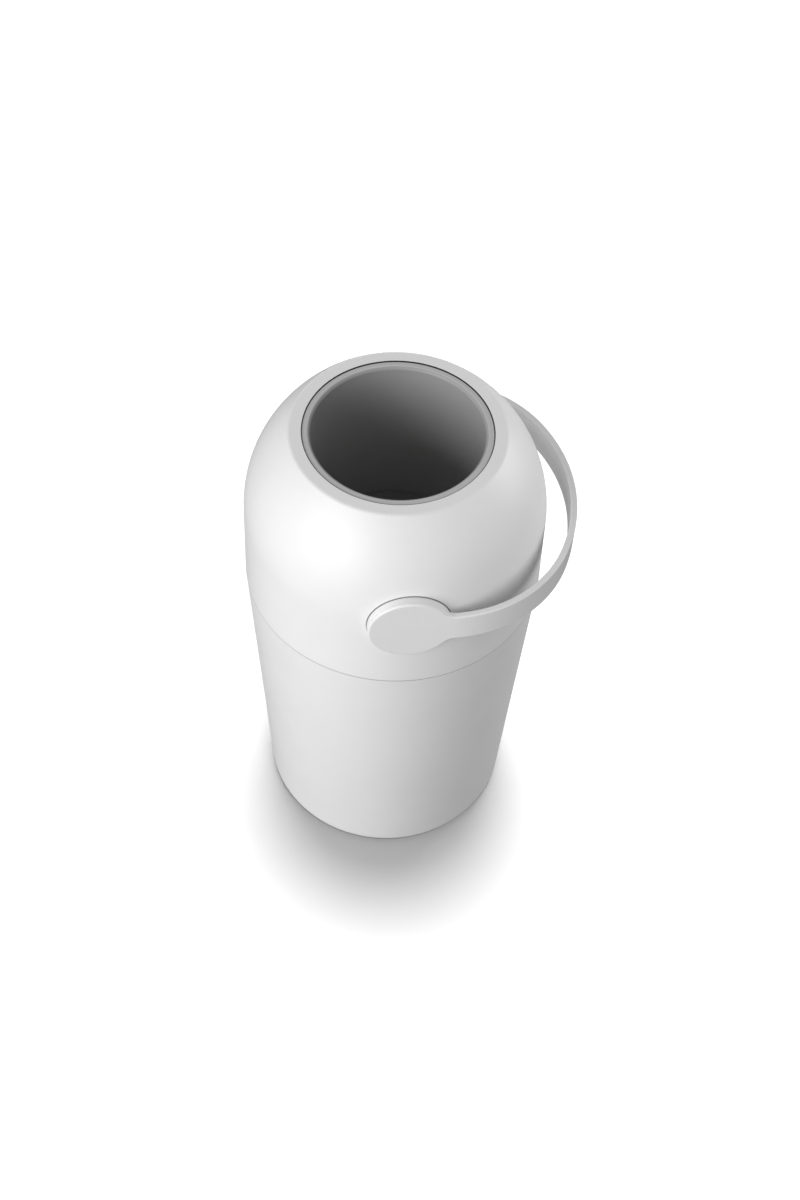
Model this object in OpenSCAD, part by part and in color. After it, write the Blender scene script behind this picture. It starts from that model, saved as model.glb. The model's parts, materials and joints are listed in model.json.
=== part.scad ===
// Nappy bin with a flip handle.
// A tapered tub holds the bag. A domed lid stands on it and carries a ball-shaped drum with a
// bore through it. The handle turns the drum half a turn, and a weighted piston slides down the
// bore and pushes the nappy out into the bag, while the drum keeps the mouth closed.
// All sizes are in millimetres. The origin is the middle of the base on the floor, +Z is up,
// the front is -Y, and the handle rests towards +X.

/* [Whole bin] */
// Radius of the dome, a ball struck from the middle of the drum
dome_r = 155.4; // [130:0.1:185]
// Height of the seam between tub and lid
seam_h = 376.5; // [300:0.5:450]
// Height of the lid's skirt, from the seam up to the drum's axle
skirt_h = 91; // [78:0.5:120]
// How much wider the skirt is at the seam than at the axle
skirt_flare = 2.2; // [1:0.1:4]
// How much narrower the tub is at the floor than at the seam
taper = 16.6; // [5:0.1:30]

/* [Tub] */
// Thickness of the tub wall
tub_wall = 2.6; // [2:0.1:3.4]
// Thickness of the raised floor panel
floor_t = 3; // [2:0.1:5]
// Height that the floor panel is raised by
panel_rise = 4; // [3:0.5:8]
// Radius of the soft edge round the base
base_round = 11.5; // [8:0.5:14]
// Height of the wide band at the foot of the neck
band_h = 15; // [8:1:18]
// Number of ribs under the floor panel
floor_ribs = 8; // [4:1:12]
// Thickness of those ribs
floor_rib_t = 2; // [1.5:0.1:3]

/* [Grip ring] */
// Distance of the rubber ring's inner edge from the tub's side
grip_inset = 27; // [24:0.5:34]
// Width of the ring
grip_w = 10; // [8:0.5:12]
// Depth of its groove in the base
grip_sunk = 2.5; // [2:0.1:3.5]
// Height that it stands out below the base
grip_proud = 1.5; // [1:0.1:3]

/* [Lid] */
// Thickness of the dome and skirt
dome_wall = 3; // [2.6:0.1:3.4]
// Thickness of the flat lip
lip_t = 3.2; // [2.6:0.1:4]
// Radius of the soft crease between the lip and the dome
crease_round = 5; // [3:0.5:8]
// Distance of the mouth's edge from the dome's side
mouth_inset = 60.9; // [50:0.1:72]
// Upright land at the edge of the mouth
mouth_land = 0.8; // [0.4:0.1:1.2]
// Gap at the seam
seam_gap = 0.3; // [0.3:0.1:0.6]
// Soft edges on both sides of the seam
seam_round = 0.6; // [0.3:0.1:1]

/* [Drum] */
// Space between the dome's wall and the drum
drum_space = 6.8; // [6:0.1:8]
// Gap between the drum and the edge of the mouth
mouth_gap = 0.7; // [0.5:0.1:1.2]
// Depth of the drum's rim under the lip
rim_drop = 0.9; // [0.4:0.1:1.5]
// Thickness of the drum's shell
drum_wall = 2.6; // [2:0.1:3.2]
// Width of the rim round the bore
rim_w = 7.5; // [6.5:0.1:9]
// Thickness of the rim
rim_t = 3.2; // [2.6:0.1:4]
// Rounding of the rim's inner edge
rim_round = 3.5; // [2:0.1:4]
// Thickness of the bore liner
liner_wall = 2.4; // [2:0.1:3]
// Height of the lip that keeps the piston in the bore
stop_lip_h = 4.5; // [3.6:0.1:6]
// Depth of that lip
stop_lip_w = 0.9; // [0.8:0.1:1.2]

/* [Hub and handle] */
// Radius of the hub disc
hub_r = 41.4; // [36:0.2:44]
// Thickness of the hub disc
hub_t = 9.8; // [8:0.1:12]
// Width of the strap
strap_w = 34.5; // [28:0.5:38]
// Thickness of the strap
strap_t = 6.7; // [5:0.1:8]
// Space between the dome and the strap for a hand
hand_gap = 23.75; // [20:0.25:40]
// Angle that the nose of the strap covers on each side
nose_a = 28; // [24:1:34]
// Radius where the strap runs out of the disc
neck_round = 14; // [8:0.5:20]
// Soft edge round the strap
strap_round = 1.6; // [0.6:0.1:2.4]
// Soft edge round the disc
hub_round = 2; // [0.8:0.1:2.6]
// Radius of the axle
axle_r = 20; // [16:0.5:22]
// Running clearance of the axle in its bush
axle_fit = 0.05; // [0.02:0.01:0.1]
// Thickness of the bush's wall
bush_wall = 4; // [3:0.1:5]
// Largest turn of the handle in degrees
turn = 180; // [170:1:180]

/* [Cradle and seals] */
// Gap between the drum and the cradle under it
cradle_gap = 1.7; // [1.4:0.1:2.4]
// Thickness of the cradle
cradle_wall = 2.4; // [2:0.1:3]
// Space between the hub's seat and the cradle's flange
cradle_margin = 2; // [1:0.5:6]
// Height of the cradle's lower edge over the drum's lower rim
chute_rise = 7.5; // [6:0.5:12]
// Number of screws that hold the cradle
cradle_screws_n = 6; // [6:1:6]
// Gap between a rubber seal and what it wipes
seal_gap = 0.3; // [0.2:0.05:0.5]

/* [Piston] */
// Height of the piston
piston_h = 28; // [26:1:40]
// Gap between the piston and the bore
piston_gap = 0.3; // [0.25:0.05:0.6]
// Thickness of the piston's wall, web and faces
piston_wall = 3; // [2.4:0.1:3.4]
// Depth of the dish in each face
dish_depth = 3; // [1:0.5:5]
// Distance of the piston's screws from its edge
screw_inset = 20.5; // [16:0.5:26]
// Thickness of each steel weight
weight_t = 4; // [2:0.5:5]

/* [Bag ring] */
// Thickness of the bag ring
bag_wall = 2; // [1.6:0.1:2.4]
// Depth of its inner leg
bag_leg = 30; // [15:1:32]

/* [Screws] */
// Radius of the small screws
screw_r = 1.9; // [1.5:0.1:2.2]
// Radius of the screws along the axle
axle_screw_r = 3; // [2.5:0.1:3.5]

/* [Hidden] */
$fn = 200;

// Clearances and small sizes that many pieces share
over = 1;               // how far a cut runs past the face it opens
fit = 0.1;              // gap between pieces that are pushed together
lap = 0.05;             // how far parts of one moulding run into each other at a join
run_gap = 0.3;          // gap between flat faces that turn past each other
ease_share = 1.002;     // a soft edge's circle is this much over its true radius, so that it crosses
seam_r = dome_r + skirt_flare;
foot_r = seam_r - taper;
mouth_r = dome_r - mouth_inset;
far = 2 * (seam_h + skirt_h + dome_r);   // well past the whole bin

// The ball of the drum and its turning axis
drum_r = dome_r - dome_wall - drum_space;
mouth_ball = drum_r + mouth_gap;
lip_rise = ball(mouth_ball, mouth_r) + mouth_land;
pivot_h = seam_h + skirt_h;
total_h = pivot_h + lip_rise;
drum_end = lip_rise - rim_drop;
drum_in = drum_r - drum_wall;
chute_drop = drum_end - chute_rise;

// The lid's skirt and the tub's neck inside it
lid_h = seam_h + seam_gap;
hub_gap = 0.6;          // gap round the hub disc where the skirt stands beside it
pocket_r = hub_r + hub_gap;
plate_r = pocket_r + dome_wall;
cradle_drop = plate_r + cradle_margin;
cradle_top = pivot_h - cradle_drop;
screw_space = 5;        // room for the cradle's screw heads over the bag ring
bag_top = cradle_top - cradle_wall - screw_space;
neck_top = bag_top - bag_wall - fit;
skirt_gap = 0.4;        // gap between the skirt and the neck's wide band
band_r = min(skirt_in(seam_h), skirt_in(seam_h + band_h)) - skirt_gap;
bag_r = skirt_in(bag_top) - 2 * skirt_gap;
neck_r = bag_r - bag_wall - fit;

// The hub, outwards along the axle
seat_margin = 0.3;      // flat seat's radius past the disc
plate_t = 2.9;          // wall between the seat and the drum
seat_y = ball(dome_r, hub_r + seat_margin);
plate_y = seat_y - plate_t;
flange_t = 3;           // flange of the bush, between the plate and the drum
facet_y = plate_y - flange_t - run_gap;
hub_y = seat_y + run_gap;
face_y = hub_y + hub_t;
bush_r = axle_r + axle_fit + bush_wall;

// The bore
rim_r = ball(drum_r, drum_end);
lip_bore_r = rim_r - rim_w;
bore_r = lip_bore_r + stop_lip_w;
liner_r = bore_r + liner_wall;
sleeve_r = liner_r + liner_wall + fit;
sleeve_h = 10;          // length of the collar at each end of the liner
shell_end = drum_end - rim_t;
bore_end = drum_end - stop_lip_h;

// The piston, lying at the bottom of the bore
piston_r = bore_r - piston_gap;
piston_low = pivot_h - bore_end + run_gap;
piston_mid = piston_low + piston_h / 2;

// Radius of the lid's outside and of the skirt's inside at height z, under the axle
function body_at(z) = dome_r + (seam_r - dome_r) * (pivot_h - z) / (pivot_h - seam_h);
function skirt_in(z) = body_at(z) - dome_wall;
// Radius of the tub's outside at height z
function tub_at(z) = foot_r + (seam_r - foot_r) * z / seam_h;
// Radius of a ball's section at a distance h from its middle
function ball(r, h) = sqrt(r * r - h * h);
// Points of an arc, from angle a0 to a1 in n steps
function arc(c, r, a0, a1, n = 6) = [for (i = [0:n]) c + r * dir(a0 + (a1 - a0) * i / n)];
function dir(a) = [cos(a), sin(a)];

// Profiles, drawn with x as the radius and y as the height

// The right half of a ball round the drum's middle
module ball_2d(r)
    translate([0, pivot_h])
        intersection() {
            circle(r);
            translate([0, -r])
                square([r, 2 * r]);
        }

// The section of a ring between two radii and two heights
module ring_2d(r0, r1, z0, z1)
    translate([r0, z0])
        square([r1 - r0, z1 - z0]);

// The same section with its corners rounded by e
module soft_ring_2d(r0, r1, z0, z1, e)
    polygon(concat(
        arc([r1 - e, z1 - e], e, 90, 0),
        arc([r1 - e, z0 + e], e, 0, -90),
        arc([r0 + e, z0 + e], e, -90, -180),
        arc([r0 + e, z1 - e], e, 180, 90)));

// Rounds a corner of a profile: c and r are the soft edge's circle, between angles a0 and a1
module ease(c, r, a0, a1) {
    reach = 3 * r;
    difference() {
        children();
        difference() {
            polygon([c, c + reach * dir(a0), c + reach * (dir(a0) + dir(a1)), c + reach * dir(a1)]);
            translate(c)
                circle(r * ease_share);
        }
    }
}

module ring(r0, r1, z0, z1)
    rotate_extrude()
        ring_2d(r0, r1, z0, z1);

module soft_ring(r0, r1, z0, z1, e)
    rotate_extrude()
        soft_ring_2d(r0, r1, z0, z1, e);

// Draws a hub piece at the front (side -1) or the rear (side 1): its z runs outwards along the
// axle from the bin's middle, its x is the bin's x, and its y is up
module hub(side)
    translate([0, 0, pivot_h])
        if (side > 0)
            rotate([-90, 0, 0])
                mirror([0, 1, 0])
                    children();
        else
            rotate([90, 0, 0])
                children();

// A plain disc or tube along the axle, between y0 and y1 from the middle
module hub_disc(side, r, y0, y1)
    hub(side)
        translate([0, 0, y0])
            cylinder(r = r, h = y1 - y0);

module around(n, start = 0)
    for (i = [0:n - 1])
        rotate([0, 0, start + 360 * i / n])
            children();

// TUB

grip_r = foot_r - grip_inset;
panel_gap = 6;                           // between the raised floor panel and the grip ring
panel_r = grip_r - panel_gap;
tub_color = "white";
trim_color = "silver";
seal_color = "dimgray";
stand_h = grip_proud;                    // underside of the base
base_c = [tub_at(stand_h) - base_round, stand_h + base_round];
panel_h = stand_h + panel_rise;          // underside of the raised panel
floor_h = panel_h + floor_t;             // inside of the floor
foot_in = stand_h + grip_sunk + floor_t; // inside of the floor over the grip ring
bead_round = 1;                          // rounded top of the neck
shoulder_t = 3;                          // thickness of the shoulder at the seam

module tub_outer_2d()
    ease(base_c, base_round, -90, 0)
        ease([seam_r - seam_round, seam_h - seam_round], seam_round, 0, 90)
            ease([neck_r - bead_round, neck_top - bead_round], bead_round, 0, 90)
                polygon([
                    [0, stand_h], [tub_at(stand_h), stand_h], [seam_r, seam_h],
                    [band_r, seam_h], [band_r, seam_h + band_h],
                    [neck_r, seam_h + band_h + band_r - neck_r],
                    [neck_r, neck_top], [0, neck_top]]);

module tub_inner_2d() {
    in_round = base_round - tub_wall;
    ease([tub_at(foot_in) - tub_wall - in_round, foot_in + in_round], in_round, -90, 0)
        polygon([
            [0, floor_h], [panel_r + floor_t, floor_h], [panel_r + 2 * floor_t, foot_in],
            [tub_at(foot_in) - tub_wall, foot_in],
            [tub_at(seam_h - 2 * shoulder_t) - tub_wall, seam_h - 2 * shoulder_t],
            [band_r - tub_wall, seam_h - shoulder_t],
            [band_r - tub_wall, seam_h + band_h],
            [neck_r - tub_wall, seam_h + band_h + band_r - neck_r],
            [neck_r - tub_wall, neck_top + over], [0, neck_top + over]]);
}

// One-piece moulded tub: tapered wall, soft base, raised floor panel with ribs under it, and
// the neck that stands inside the lid
module tub_shell() {
    hub_ring_r = panel_r / 5;
    color(tub_color)
        union() {
            difference() {
                rotate_extrude()
                    difference() {
                        tub_outer_2d();
                        tub_inner_2d();
                    }
                ring(0, panel_r, 0, panel_h);
                ring(grip_r - fit, grip_r + grip_w + fit, 0, stand_h + grip_sunk);
            }
            ring(hub_ring_r, hub_ring_r + floor_rib_t, stand_h + fit, panel_h + fit);
            around(floor_ribs)
                translate([hub_ring_r + floor_rib_t / 2, -floor_rib_t / 2, stand_h + fit])
                    cube([panel_r - hub_ring_r, floor_rib_t, panel_rise]);
        }
}

// Rubber ring that the bin stands on
module base_grip_ring() {
    grip_edge = 0.8;
    color(seal_color)
        rotate_extrude()
            difference() {
                soft_ring_2d(grip_r, grip_r + grip_w, 0, stand_h + grip_sunk, grip_edge);
                for (share = [1 / 3, 2 / 3])
                    translate([grip_r + grip_w * share, 0])
                        circle(grip_edge);
            }
}

// Ring over the neck that holds the edge of the bag
module bag_ring() {
    leg_out = neck_r - tub_wall - fit;
    skirt_leg = bag_leg / 3;
    color(trim_color)
        rotate_extrude()
            ease([bag_r - bag_wall, bag_top - bag_wall], bag_wall, 0, 90)
                ease([leg_out, bag_top - bag_wall], bag_wall, 90, 180)
                    union() {
                        ring_2d(leg_out - bag_wall, bag_r, bag_top - bag_wall, bag_top);
                        ring_2d(leg_out - bag_wall, leg_out, bag_top - bag_leg, bag_top);
                        ring_2d(bag_r - bag_wall, bag_r, bag_top - skirt_leg, bag_top);
                    }
}

// LID

crease_c = [ball(dome_r - crease_round, lip_rise - crease_round), total_h - crease_round];
crease_a = atan2(lip_rise - crease_round, crease_c[0]);
lip_under = total_h - lip_t;
boss_r = screw_r + 2.2;      // screw bosses inside the dome
boss_h = 16;
boss_at = skirt_in(cradle_top) - boss_r + fit;
cradle_in = drum_r + cradle_gap;
cradle_out = cradle_in + cradle_wall;

module dome_outer_2d()
    ease(crease_c, crease_round, crease_a, 90)
        ease([body_at(lid_h) - seam_round, lid_h + seam_round], seam_round, -90, 0)
            union() {
                intersection() {
                    ball_2d(dome_r);
                    ring_2d(0, dome_r, pivot_h, total_h);
                }
                polygon([[0, lid_h], [body_at(lid_h), lid_h], [dome_r, pivot_h], [0, pivot_h]]);
            }

module dome_inner_2d() {
    intersection() {
        ball_2d(dome_r - dome_wall);
        ring_2d(0, dome_r, pivot_h, lip_under);
    }
    polygon([
        [0, lid_h - over], [skirt_in(lid_h), lid_h - over], [skirt_in(lid_h), lid_h],
        [skirt_in(pivot_h), pivot_h], [0, pivot_h]]);
    ball_2d(mouth_ball);
    ring_2d(0, mouth_r, pivot_h, total_h + over);
}

// A plug round the axle in the wall of a ball of radius r, from y0 outwards
module ball_plug(side, r, plug_r, y0)
    hub(side)
        rotate_extrude()
            intersection() {
                ring_2d(0, plug_r, y0, r);
                intersection() {
                    circle(r);
                    translate([0, -r])
                        square([r, 2 * r]);
                }
            }

// Domed top: ball-shaped dome with a flat lip round the mouth, a nearly straight skirt, and a
// flat round seat at each end of the axle for the hub disc
module dome_shell()
    color(tub_color)
        difference() {
            union() {
                rotate_extrude()
                    difference() {
                        dome_outer_2d();
                        dome_inner_2d();
                    }
                for (side = [-1, 1]) {
                    ball_plug(side, dome_r - fit / 2, plate_r, plate_y);
                    intersection() {
                        hub_disc(side, plate_r, plate_y, dome_r);
                        translate([0, 0, pivot_h - plate_r - over])
                            cylinder(r = dome_r - dome_wall / 2, h = plate_r + over);
                    }
                }
                around(cradle_screws_n)
                    translate([boss_at, 0, cradle_top])
                        cylinder(r = boss_r, h = boss_h);
            }
            for (side = [-1, 1]) {
                hub_disc(side, pocket_r, seat_y, far);
                hub_disc(side, bush_r + fit / 2, 0, far);
            }
            around(cradle_screws_n)
                translate([boss_at, 0, cradle_top - over])
                    cylinder(r = screw_r + fit / 2, h = boss_h - screw_r);
        }

mouth_seal_h = 3.5;
retainer_r = ball(dome_r - dome_wall, lip_rise - lip_t) - fit;
mouth_seal_r = retainer_r - dome_wall - fit;

// Rubber ring under the lip that wipes the drum
module mouth_seal()
    color(seal_color)
        rotate_extrude()
            difference() {
                ring_2d(mouth_r, mouth_seal_r, lip_under - mouth_seal_h, lip_under);
                ball_2d(drum_r + seal_gap);
            }

// Ring that holds the mouth seal against the lip
module mouth_seal_retainer() {
    leg_end = lip_under - mouth_seal_h - fit;
    shelf_w = 2;        // how far the ring's foot reaches out under its leg
    color(trim_color)
        rotate_extrude()
            difference() {
                union() {
                    ring_2d(retainer_r - dome_wall, retainer_r, leg_end, lip_under);
                    ring_2d(mouth_r, retainer_r + shelf_w, leg_end - dome_wall, leg_end);
                }
                ball_2d(drum_r + cradle_gap);
            }
}

// Bowl that closes the lid under the drum, down to the chute
module drum_cradle() {
    flange_r = skirt_in(cradle_top) - skirt_gap;
    color(trim_color)
        difference() {
            rotate_extrude()
                difference() {
                    union() {
                        intersection() {
                            ball_2d(cradle_out);
                            ring_2d(0, cradle_out, pivot_h - chute_drop, cradle_top);
                        }
                        ring_2d(ball(cradle_in, cradle_drop + cradle_wall), flange_r, cradle_top - cradle_wall, cradle_top);
                    }
                    ball_2d(cradle_in);
                }
            around(cradle_screws_n)
                translate([boss_at, 0, cradle_top - cradle_wall - over])
                    cylinder(r = screw_r + fit, h = cradle_wall + 2 * over);
        }
}

// A screw that points up, its head's underside at z = 0
module screw_up(r, length) {
    head_r = 1.9 * r;
    head_h = 1.2 * r;
    difference() {
        union() {
            cylinder(r = r, h = length);
            translate([0, 0, -head_h])
                cylinder(r = head_r, h = head_h);
        }
        translate([0, 0, -head_h - over])
            cylinder(r = r, h = over + head_h / 2, $fn = 6);
    }
}

module cradle_screws()
    color("gainsboro")
        around(cradle_screws_n)
            translate([boss_at, 0, cradle_top - cradle_wall])
                screw_up(screw_r, cradle_wall + boss_h / 2);

// Rubber ring between the cradle and the bag ring
module skirt_seal() {
    seal_r = neck_r - tub_wall - fit - bag_wall - seal_gap;
    seal_h = 8;
    color(seal_color)
        rotate_extrude()
            difference() {
                ring_2d(0, seal_r, cradle_top - cradle_wall - seal_h, cradle_top - cradle_wall);
                ball_2d(cradle_out);
            }
}

chute_h = pivot_h - chute_drop;
chute_seal_h = 4;
chute_seal_w = 3;

// Rubber ring under the cradle that wipes the drum
module chute_seal()
    color(seal_color)
        rotate_extrude()
            difference() {
                ring_2d(0, ball(cradle_out, chute_drop) - fit, chute_h - chute_seal_h, chute_h);
                ball_2d(drum_r + seal_gap);
            }

// Ring that clips round the cradle's lower edge and holds the chute seal
module chute_ring() {
    lip_r = ball(cradle_out, chute_drop);
    clip_h = 2 * chute_seal_w;
    color(trim_color)
        rotate_extrude()
            difference() {
                union() {
                    ring_2d(lip_r, lip_r + chute_seal_w, chute_h - chute_seal_h, chute_h + clip_h);
                    ring_2d(0, lip_r + chute_seal_w, chute_h - chute_seal_h - cradle_wall, chute_h - chute_seal_h);
                }
                ball_2d(drum_r + cradle_gap);
                intersection() {
                    ball_2d(cradle_out);
                    ring_2d(0, far, chute_h, cradle_top);
                }
            }
}

// Stops that limit the handle's turn, as angles round the axle from the handle's resting side
stop_mid = -90;         // angle of the drum's stop lug at rest
stop_half = 9;          // half of the angle that the lug takes up
stop_slack = 0.5;       // angle left between the lug and the flange at each limit
stop_r0 = bush_r + 4;   // inner radius of the lug
stop_r1 = stop_r0 + 6;  // its outer radius

// A sector that reaches past radius r between two angles, as a flat outline
module sector_2d(r, a0, a1) {
    steps = ceil(abs(a1 - a0) / 30);
    polygon(concat([[0, 0]], arc([0, 0], 2 * r, a0, a1, steps)));
}

// Flanged bush in the lid's seat. The flange takes the drum's thrust, and its ends stop the lug
module bearing_bush(side)
    color("ivory")
        hub(side)
            difference() {
                union() {
                    translate([0, 0, plate_y - flange_t])
                        cylinder(r = bush_r + dome_wall, h = flange_t);
                    translate([0, 0, plate_y - flange_t])
                        difference() {
                            cylinder(r = stop_r1 + seat_margin, h = flange_t);
                            translate([0, 0, -over])
                                linear_extrude(flange_t + 2 * over)
                                    sector_2d(
                                        stop_r1,
                                        stop_mid - stop_half - stop_slack,
                                        stop_mid + turn + stop_half + stop_slack);
                        }
                    translate([0, 0, plate_y - flange_t])
                        cylinder(r = bush_r, h = flange_t + plate_t);
                }
                translate([0, 0, plate_y - flange_t - over])
                    cylinder(r = axle_r + axle_fit, h = flange_t + plate_t + 2 * over);
            }

// DRUM

key_w = 2 * axle_r;     // square collar of the axle, held between the drum's shells
key_t = 8;
key_wall = 5;
key_y = facet_y - drum_wall - key_wall - key_t;
drum_boss_r = 6;        // bosses for the screws that join the two shells
drum_boss_h = 14;
drum_screw_h = 8;       // depth of the screw heads under the axle
drum_screw_at = ball(drum_in, drum_boss_h) - drum_boss_r + over;

// Upper half of the drum: a ball-shaped shell round the bore, with half of each axle's pocket
// and bosses with screw holes of radius hole_r
module drum_half(hole_r) {
    box_w = key_w + 2 * key_wall;
    difference() {
        union() {
            rotate_extrude()
                difference() {
                    intersection() {
                        ball_2d(drum_r);
                        ring_2d(sleeve_r + fit, drum_r, pivot_h, pivot_h + shell_end);
                    }
                    intersection() {
                        ball_2d(drum_in);
                        ring_2d(0, drum_r, pivot_h - over, pivot_h + shell_end - drum_wall);
                    }
                }
            for (side = [-1, 1])
                hub(side)
                    translate([-box_w / 2, 0, key_y - key_wall])
                        cube([box_w, box_w / 2, facet_y - drum_wall - key_y + key_wall]);
            around(4, 45)
                translate([drum_screw_at, 0, pivot_h])
                    cylinder(r = drum_boss_r, h = drum_boss_h);
        }
        for (side = [-1, 1])
            hub(side) {
                translate([0, 0, facet_y])
                    cylinder(r = bush_r + key_wall, h = 2 * drum_wall);
                cylinder(r = axle_r + fit, h = drum_r);
                translate([-key_w / 2 - fit, -key_w / 2 - fit, key_y - fit])
                    cube([key_w + 2 * fit, key_w + 2 * fit, key_t + 2 * fit]);
            }
        around(4, 45)
            translate([drum_screw_at, 0, pivot_h - over])
                cylinder(r = hole_r, h = drum_boss_h - screw_r + over);
    }
}

module drum_upper_shell()
    color(trim_color)
        drum_half(screw_r + fit / 2);

// Lug on the drum's lower side that meets the ends of the bush's flange
module stop_lug(side)
    hub(side)
        translate([0, 0, facet_y - drum_wall - flange_t])
            linear_extrude(drum_wall + 2 * flange_t)
                intersection() {
                    difference() {
                        circle(stop_r1);
                        circle(stop_r0);
                    }
                    sector_2d(stop_r1, stop_mid - stop_half, stop_mid + stop_half);
                }

// Lower half, which also carries a stop lug at each end of the axle
module drum_lower_shell()
    color(trim_color)
        difference() {
            union() {
                translate([0, 0, pivot_h])
                    mirror([0, 0, 1])
                        translate([0, 0, -pivot_h])
                            drum_half(screw_r + fit);
                for (side = [-1, 1])
                    stop_lug(side);
            }
            around(4, 45)
                translate([drum_screw_at, 0, pivot_h - drum_screw_h - far])
                    cylinder(r = 2 * screw_r + fit, h = far);
        }

module drum_screws()
    color("gainsboro")
        around(4, 45)
            translate([drum_screw_at, 0, pivot_h - drum_screw_h])
                screw_up(screw_r, drum_screw_h + drum_boss_h / 2);

liner_color = "darkgray";

// The drum's rim round one end of the bore, drawn at the top
module rim_2d()
    ease([lip_bore_r + rim_round, pivot_h + drum_end - rim_round], rim_round, 90, 180)
        union() {
            difference() {
                intersection() {
                    ball_2d(drum_r);
                    ring_2d(0, drum_r, pivot_h + shell_end + fit, pivot_h + drum_end);
                }
                ring_2d(0, lip_bore_r, pivot_h, pivot_h + drum_end + over);
            }
            ring_2d(lip_bore_r, sleeve_r, pivot_h + bore_end, pivot_h + drum_end);
        }

// Smooth tube that the nappy and the piston slide in, in one piece with the upper rim
module bore_liner()
    color(liner_color)
        rotate_extrude() {
            rim_2d();
            ring_2d(bore_r, liner_r, pivot_h - bore_end, pivot_h + bore_end + fit);
            ring_2d(bore_r, sleeve_r, pivot_h + shell_end - sleeve_h, pivot_h + bore_end + fit);
        }

// The lower rim, with a sleeve that is pushed on the liner's lower end
module drum_rim_ring()
    color(liner_color)
        translate([0, 0, pivot_h])
            mirror([0, 0, 1])
                translate([0, 0, -pivot_h])
                    rotate_extrude() {
                        rim_2d();
                        ring_2d(liner_r + fit, sleeve_r, pivot_h + shell_end - sleeve_h, pivot_h + bore_end + fit);
                    }

tongue_w = 1.2 * axle_r;   // square end of the axle, in the hub disc
tongue_t = 4;
hub_skin = 3;           // wall of the hub disc, which is hollow behind

// Axle: a journal with a square collar inside the drum and a square tongue in the hub disc
module axle(side)
    color("ivory")
        hub(side)
            difference() {
                union() {
                    translate([0, 0, key_y - key_wall])
                        cylinder(r = axle_r, h = seat_y - key_y + key_wall);
                    translate([-key_w / 2, -key_w / 2, key_y])
                        cube([key_w, key_w, key_t]);
                    translate([-tongue_w / 2, -tongue_w / 2, seat_y])
                        cube([tongue_w, tongue_w, run_gap + tongue_t]);
                }
                translate([0, 0, key_y - key_wall - over])
                    cylinder(r = axle_screw_r + fit, h = far);
            }

module axle_screws()
    color("gainsboro")
        for (side = [-1, 1])
            hub(side)
                translate([0, 0, key_y - key_wall])
                    screw_up(axle_screw_r, face_y - hub_skin / 2 - fit - key_y + key_wall);

// HANDLE

// Plan of the bail, a quarter at a time: a straight lead from the hub, a corner, and a nose that
// is struck from the bin's axis. The corner's radius follows from the reach and the half width
nose_r = dome_r + hand_gap + strap_t / 2;
strap_y = face_y - strap_t / 2;
corner_a = 90 - nose_a;
corner_r = (strap_y - nose_r * cos(corner_a)) / (1 - cos(corner_a));
corner_c = (nose_r - corner_r) * [sin(corner_a), cos(corner_a)];

module strap_2d(r)
    soft_ring_2d(r - strap_t / 2, r + strap_t / 2, -strap_w / 2, strap_w / 2, strap_round);

// Part of the strap along an arc: c is its centre, and a0 and a1 are angles from +X towards +Y
module strap_arc(c, r, a0, a1)
    translate([c[0], c[1], pivot_h])
        rotate_extrude(angle = a1 - a0, start = a0)
            strap_2d(r);

// The lead and the corner on the +Y side. Both ends run on a hair, so that they join the rest
module side_strap() {
    turn_on = lap / corner_r * 180 / PI;
    strap_arc(corner_c, corner_r, nose_a - turn_on, 90 + turn_on);
    translate([corner_c[0], strap_y, pivot_h])
        rotate([90, 0, -90])
            linear_extrude(corner_c[0])
                strap_2d(0);
}

// Webs that round the corners where the strap runs out of the disc, as thick as the strap
module neck_webs(side) {
    web_out = hub_r + neck_round;
    web_z = strap_w / 2 + neck_round;
    web_x = sqrt(web_out * web_out - web_z * web_z);
    in_share = (hub_r - hub_skin / 2) / web_out;
    for (up = [-1, 1])
        hub(side)
            difference() {
                translate([0, 0, face_y - strap_t])
                    linear_extrude(strap_t)
                        polygon([
                            [web_out * in_share, 0], [web_x * in_share, up * web_z * in_share],
                            [web_x, up * web_z], [web_x, 0]]);
                translate([web_x, up * web_z, 0])
                    rotate_extrude()
                        difference() {
                            ring_2d(0, neck_round + strap_round, face_y - strap_t - over, face_y + over);
                            soft_ring_2d(neck_round, neck_round + 4 * strap_round, face_y - strap_t, face_y, strap_round);
                        }
            }
}

// Round hub disc, hollow behind, with ribs and a square socket for the axle's tongue
module hub_cap(side) {
    socket = tongue_w / 2 + fit;
    hub_ribs = 8;
    difference() {
        union() {
            hub(side)
                rotate_extrude()
                    ease([hub_r - hub_round, face_y - hub_round], hub_round, 0, 90)
                        difference() {
                            ring_2d(0, hub_r, hub_y, face_y);
                            ring_2d(axle_r + hub_skin, hub_r - hub_skin, hub_y - over, face_y - hub_skin);
                        }
            hub(side)
                around(hub_ribs, 180 / hub_ribs)
                    translate([axle_r, -hub_skin / 4, hub_y + hub_skin / 3])
                        cube([hub_r - axle_r - hub_skin / 2, hub_skin / 2, hub_t - hub_skin]);
        }
        hub(side) {
            translate([-socket, -socket, hub_y - over])
                cube([2 * socket, 2 * socket, tongue_t + fit + over]);
            cylinder(r = axle_screw_r + fit, h = face_y - hub_skin / 2);
        }
    }
}

// Handle: a flat strap bail and its two hub discs, moulded in one
module handle_bail()
    color(tub_color)
        union() {
            difference() {
                union() {
                    strap_arc([0, 0], nose_r, -nose_a, nose_a);
                    side_strap();
                    mirror([0, 1, 0])
                        side_strap();
                }
                for (side = [-1, 1])
                    hub_disc(side, hub_r - strap_round, 0, far);
            }
            for (side = [-1, 1]) {
                hub_cap(side);
                neck_webs(side);
            }
        }

// PISTON

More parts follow.
